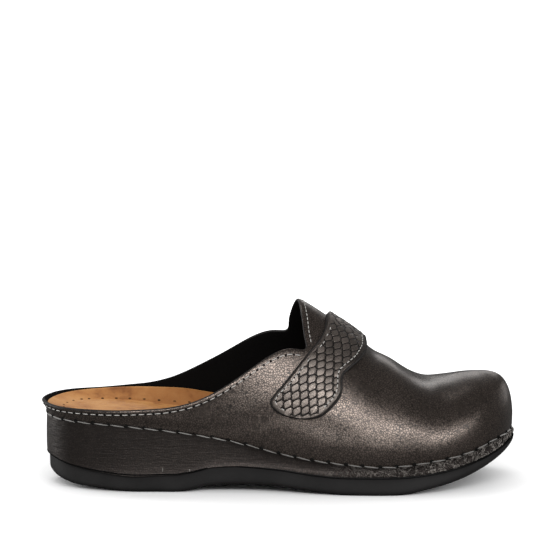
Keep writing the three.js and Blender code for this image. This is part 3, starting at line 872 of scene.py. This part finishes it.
thread_look = thread_of("fine light thread", (0.26, 0.25, 0.235), (0.45, 0.437, 0.415))
outer_line = topline_points(-1, OUTER_NOTCH)
inner_line = topline_points(1, INNER_NOTCH)
topline = list(reversed(outer_line)) + inner_line[1:]
topline_places = stitch_places_on(upper_skin, topline, TOPLINE_PITCH, TOPLINE_LIFT)
row_of("topline_stitches", TOPLINE_STITCH, topline_places, thread_look, "thread")


def between(surface, places):
    """The places on a surface halfway between each two neighbours."""
    halfway = []
    for a, b in zip(places, places[1:]):
        point, normal = laid_on(surface, (a[0] + b[0]) / 2, NEEDLE_LIFT)
        halfway.append((point, a[1], normal))
    return halfway


needle_places = between(upper_skin, topline_places)
row_of("topline_holes", TOPLINE_HOLE, needle_places, painted_hole_shade, "lining")
tab_places = stitch_places_on(upper_skin, tab_points(), TAB_PITCH, TAB_LIFT)
row_of("tab_stitches", FINE_STITCH, tab_places, thread_look, "thread")


# Footbed. Natural tan leather over a moulded cup, mottled by wear, darker where it rises to its edge, with
# a row of small punched holes along the crease on each side.
CREASE_INSET = 9
PUNCH_PITCH = 8.6
LAST_PUNCH = 0.02
LOOK_DOWN_FROM = 0.03
PUNCH_LIFT = 0.02
PUNCH_HOLE = (1.7, 1.3, 0.25)
footbed = smooth_copy("insole", "footbed")
subdivide(footbed, 2)
tan, tree, shader = new_material("tan leather", Specular_IOR_Level=0.2)
place = object_place(tree)
stains = noise_of(tree, place, 55, 5, 0.65)
base = ramp(
    tree, stains, (0.32, (0.23, 0.085, 0.025)), (0.48, (0.4, 0.18, 0.055)), (0.7, (0.5, 0.255, 0.088))
)
rise = ramp(tree, facing_up(tree), (0.8, (0.62, 0.54, 0.47)), (0.985, (1.0, 1.0, 1.0)))
tree.links.new(mix_colours(tree, 1.0, base, rise, "MULTIPLY"), shader.inputs["Base Color"])
hide = noise_of(tree, place, 700, 5, 0.65)
tree.links.new(ramp(tree, hide, (0.3, 0.5), (0.7, 0.7)), shader.inputs["Roughness"])
tree.links.new(bump(tree, hide, 0.15), shader.inputs["Normal"])
footbed.data.materials.append(tan)
finish_piece(footbed, "footbed_leather", "insole")
footbed_skin = surface_of(footbed)
punch_places = []
for point, along in resampled(seam_line, PUNCH_PITCH * MM):
    inwards = UP.cross(along)
    if inwards.dot(point) > 0:
        inwards.negate()
    top = point + inwards.normalized() * CREASE_INSET * MM + UP * LOOK_DOWN_FROM
    hit, normal, _, _ = footbed_skin.ray_cast(top, -UP)
    if hit is not None and hit.x < LAST_PUNCH:
        punch_places.append((hit + normal * PUNCH_LIFT * MM, along, normal))
# Painted shade: the dark dots on the punched holes stand for the shade inside them.
painted_prick_shade = mottled(
    "pricked hole shade",
    90,
    (0.35, (0.012, 0.005, 0.002)),
    (0.65, (0.11, 0.05, 0.018)),
    Specular_IOR_Level=0.1,
    Roughness=0.9,
)[0]
row_of("footbed_holes", PUNCH_HOLE, punch_places, painted_prick_shade, "lining")


# Strap. A band of the same foil-finished leather, embossed with scales in offset rows, with a plain border
# outside its row of stitches. Its rounded tip lies on the outer side, and its other end is sewn in at the
# inner side.
SCALE_ROW = Vector((0.87, -0.49))
SCALE_PITCH = 4.3
ROW_PITCH = 4.7
SCALE_SLANT = 0.46
SCALE_HEIGHT = 0.16
SCALE_ROUNDING = 0.2
SCALE_BASE = 0.75
BORDER = 2.0
BORDER_FADE = 0.8
OUTER_FACING = 0.5
RIM_FACING = 0.3
EDGE_SPAN = 4.0
STRAP_AXIS_HEIGHT = 0.045
# The strap is found by rays round the foot, in quarter degrees from its outer side, at steps along it.
STRAP_SWEEP = range(-40, 700, 6)
RAY_START = -0.01
RAY_STEP = 0.25
RAY_COUNT = 280
FEWEST_HITS = 5
CHART_STEP = 0.5
CHART_START = 16
CHART_WINDOW = 14
strap = smooth_copy("strap", "instep_strap")
subdivide(strap, 3)
strap_skin = surface_of(strap)


def away_from_axis(point):
    return Vector((0, point.y, point.z - STRAP_AXIS_HEIGHT)).normalized()


centre_line = []
back_edge = []
front_edge = []
for quarter_degrees in STRAP_SWEEP:
    turn = math.radians(quarter_degrees / 4)
    outwards = Vector((0, -math.cos(turn), math.sin(turn)))
    places = [RAY_START + step * RAY_STEP * MM for step in range(RAY_COUNT)]
    starts = [Vector((x, 0, STRAP_AXIS_HEIGHT)) for x in places]
    hits = [strap_skin.ray_cast(start + outwards * OUTSIDE, -outwards, OUTSIDE)[0] for start in starts]
    hits = [hit for hit in hits if hit is not None]
    if len(hits) >= FEWEST_HITS:
        back_edge.append(hits[0])
        front_edge.append(hits[-1])
        centre_line.append(hits[len(hits) // 2])
smoothed = []
for k in range(CHART_START, len(centre_line)):
    near = centre_line[max(0, k - CHART_WINDOW) : k + CHART_WINDOW + 1]
    smoothed.append(strap_skin.find_nearest(sum(near, Vector()) / len(near))[0])
axis_rows = resampled(smoothed, CHART_STEP * MM, closed=False)
axis_finder = finder_of([point for point, _ in axis_rows])
rim_line = list(reversed(back_edge)) + front_edge
rim_points = [point for point, _ in resampled(rim_line, CHART_STEP * MM)]
rim_finder = finder_of(rim_points)


def strap_place(point):
    """A point's place along and across the rows of scales in their pitches, and its way to the edge."""
    _, number, _ = axis_finder.find(point)
    centre, along = axis_rows[number]
    across = along.cross(away_from_axis(centre)).normalized()
    offset = (point - centre) / MM
    flat = Vector((number * CHART_STEP + offset.dot(along), offset.dot(across)))
    rows = Vector((-SCALE_ROW.y, SCALE_ROW.x))
    return flat.dot(SCALE_ROW) / SCALE_PITCH, flat.dot(rows) / ROW_PITCH, rim_finder.find(point)[2] / MM


def scale_reach(u, v):
    """How far a point is from the middle of its scale, which is a rounded and slanted square of 0.5."""
    down = v - round(v)
    sideways = u - SCALE_SLANT * down
    sideways -= round(sideways)
    return (down**4 + sideways**4) ** 0.25


vertices = strap.data.vertices
normals = [vertex.normal.copy() for vertex in vertices]
places = [strap_place(vertex.co) for vertex in vertices]
chart = strap.data.uv_layers.new(name="scales")
for loop in strap.data.loops:
    chart.data[loop.index].uv = places[loop.vertex_index][:2]
from_edge = strap.data.attributes.new("from edge", "FLOAT", "POINT")
for vertex, normal, (u, v, edge) in zip(vertices, normals, places):
    outer = normal.dot(away_from_axis(vertex.co))
    from_edge.data[vertex.index].value = edge if outer > RIM_FACING else 0
    if outer > OUTER_FACING:
        share = smooth_step((edge - BORDER) / BORDER_FADE)
        hump = smooth_step((0.5 - scale_reach(u, v)) / SCALE_ROUNDING)
        vertex.co += normal * share * (hump - SCALE_BASE) * SCALE_HEIGHT * MM


def scale_group():
    """Slanted scales on a chart: the groove round each, and a tone that differs from one to the next."""
    group = bpy.data.node_groups.new("embossed scales", "ShaderNodeTree")
    group.interface.new_socket("Chart", in_out="INPUT", socket_type="NodeSocketVector")
    group.interface.new_socket("Groove", in_out="OUTPUT", socket_type="NodeSocketFloat")
    group.interface.new_socket("Tone", in_out="OUTPUT", socket_type="NodeSocketFloat")
    start = group.nodes.new("NodeGroupInput").outputs
    end = group.nodes.new("NodeGroupOutput").inputs
    chart = add_node(group, "ShaderNodeSeparateXYZ", {"Vector": start["Chart"]}).outputs
    row = link_math(group, "ROUND", chart["Y"])
    down = link_math(group, "SUBTRACT", chart["Y"], row)
    along = link_math(group, "MULTIPLY_ADD", down, -SCALE_SLANT, chart["X"])
    column = link_math(group, "ROUND", along)
    sideways = link_math(group, "SUBTRACT", along, column)
    powers = [
        link_math(group, "POWER", link_math(group, "ABSOLUTE", way), 4.0) for way in (down, sideways)
    ]
    reach = link_math(group, "POWER", link_math(group, "ADD", *powers), 0.25)
    groove = ramp(group, reach, (0.4, 0.0), (0.465, 1.0), (0.51, 1.0), (0.56, 0.3))
    number = add_node(group, "ShaderNodeCombineXYZ", {"X": column, "Y": row}).outputs[0]
    tone = add_node(group, "ShaderNodeTexWhiteNoise", {"Vector": number}).outputs["Value"]
    group.links.new(groove, end["Groove"])
    group.links.new(tone, end["Tone"])
    return group


strap_leather = metallic_leather(
    "embossed leather", 1500, 0.05, (0.08, 0.067, 0.06), (0.29, 0.245, 0.215), (0.3, 0.38)
)
tree = strap_leather.node_tree
shader = tree.nodes["Principled BSDF"]
chart_uv = add_node(tree, "ShaderNodeUVMap", uv_map="scales").outputs["UV"]
scales = add_node(tree, "ShaderNodeGroup", node_tree=scale_group())
tree.links.new(chart_uv, scales.inputs["Chart"])
edge = add_node(tree, "ShaderNodeAttribute", attribute_name="from edge").outputs["Fac"]
edge = link_math(tree, "DIVIDE", edge, EDGE_SPAN)
within = ramp(tree, edge, (0.5, 0.0), (0.68, 1.0))
groove = link_math(tree, "MULTIPLY", scales.outputs["Groove"], within)
colour = shader.inputs["Base Color"].links[0].from_socket
tone = ramp(tree, scales.outputs["Tone"], (0.0, 0.6), (1.0, 1.0))
colour = mix_colours(tree, 1.0, colour, tone, "MULTIPLY")
# Darker towards the edge: the plain border and cut sides are partly their own dark finish and partly painted
# shadow of the strap's standing edge.
dark_border_and_shade = ramp(tree, edge, (0.06, 0.12), (0.14, 0.45), (0.42, 0.38), (0.56, 1.0))
colour = mix_colours(tree, 1.0, colour, dark_border_and_shade, "MULTIPLY")
tree.links.new(mix_colours(tree, groove, colour, (0.006, 0.005, 0.0045)), shader.inputs["Base Color"])
height = link_math(tree, "SUBTRACT", 1.0, groove)
under = shader.inputs["Normal"].links[0].from_socket
tree.links.new(bump(tree, height, 0.25, 1.0, under), shader.inputs["Normal"])
strap.data.materials.append(strap_leather)
finish_piece(strap, "strap_leather", "strap")


# Strap rim. The strap's layers end in a thick turned edge, darkly finished, that runs round its tip and
# stands a little off the upper. The dark cord is partly that edge and partly painted shadow under it.
RIM_WIDTH = 1.7
RIM_STEP = 1.2
RIM_SINK = 0.45
rim_centres = []
for point, _ in resampled(rim_line, RIM_STEP * MM, closed=False):
    rim_centres.append(point - away_from_axis(point) * RIM_SINK * RIM_WIDTH * MM)
strap_rim_and_shadow = tube("strap_rim_and_shadow", rim_centres, RIM_WIDTH / 2, closed=False)
strap_rim_and_shadow.data.materials.append(dark_edge_and_shade)
finish_piece(strap_rim_and_shadow, "strap_leather")


# Strap stitching. A close row of light machine stitches that holds the strap's layers together, set in
# from its edge all round its tip, over needle holes whose dark colour is painted shade.
STRAP_STITCH_INSET = 2.4
STRAP_LIFT = 0.08
STRAP_STEP = 1.5
NEEDLE_HOLE = (1.0, 0.9, 0.3)
strap_skin = surface_of(strap)
stitch_line = []
for point, _ in resampled(rim_line, STRAP_STEP * MM, closed=False):
    centre = axis_finder.find(point)[0]
    stitch_line.append(point + (centre - point).normalized() * STRAP_STITCH_INSET * MM)
strap_places = stitch_places_on(strap_skin, stitch_line, TAB_PITCH, STRAP_LIFT)
row_of("strap_stitches", FINE_STITCH, strap_places, thread_look, "thread")
row_of("strap_holes", NEEDLE_HOLE, between(strap_skin, strap_places), painted_hole_shade, "lining")
